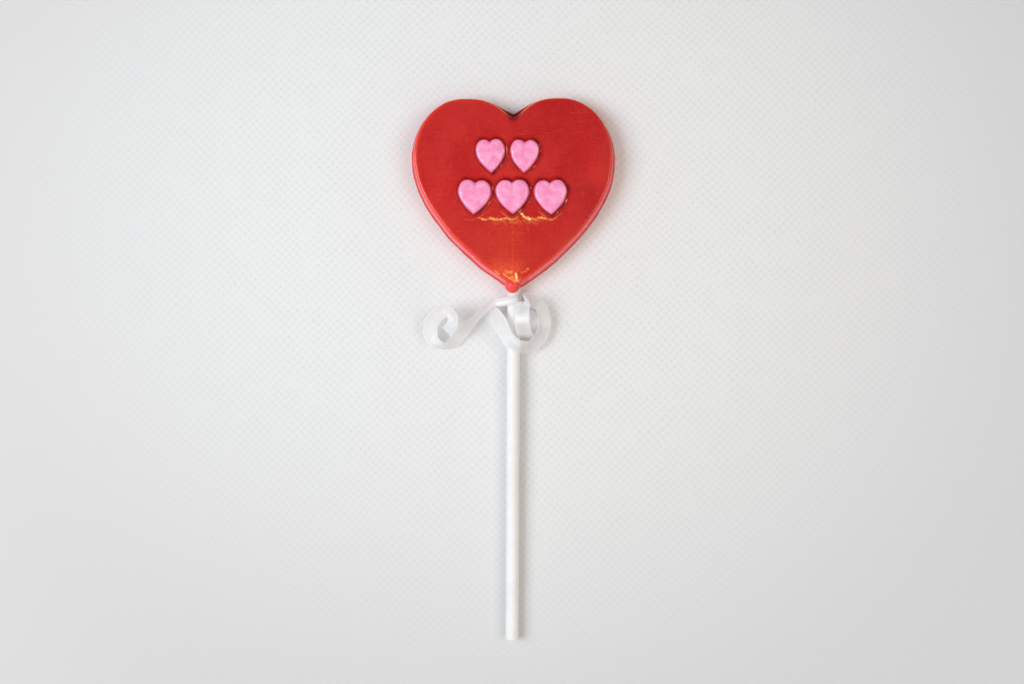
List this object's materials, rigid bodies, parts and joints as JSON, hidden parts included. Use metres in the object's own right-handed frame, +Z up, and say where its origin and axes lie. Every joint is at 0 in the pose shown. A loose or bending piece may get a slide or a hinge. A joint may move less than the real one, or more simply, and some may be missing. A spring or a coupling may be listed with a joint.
{
  "type": "heart lollipop",
  "caption": "Flat heart of red candy on a white paper stick, with small pink hearts raised on its face and a curled ribbon tied below it.",
  "frame": {"origin": "on the surface that the part lies on, below the middle of its outline", "axes": "+Y along the stick towards the heart, +Z up through the heart's face, +X to the right of the face"},
  "size_m": [0.0686, 0.1808, 0.0103],
  "materials": {
    "red_candy": "smooth opaque candy, soft gloss",
    "pink_candy": "smooth opaque candy, soft gloss",
    "rolled_paper": "tightly rolled white paper",
    "satin_ribbon": "thin translucent satin film"
  },
  "bodies": {
    "root": {"heart": "red_candy", "pink_heart_upper_left": "pink_candy", "pink_heart_upper_right": "pink_candy", "pink_heart_lower_left": "pink_candy", "pink_heart_lower_mid": "pink_candy", "pink_heart_lower_right": "pink_candy", "stick": "rolled_paper", "ribbon": "satin_ribbon"}
  },
  "joints": []
}
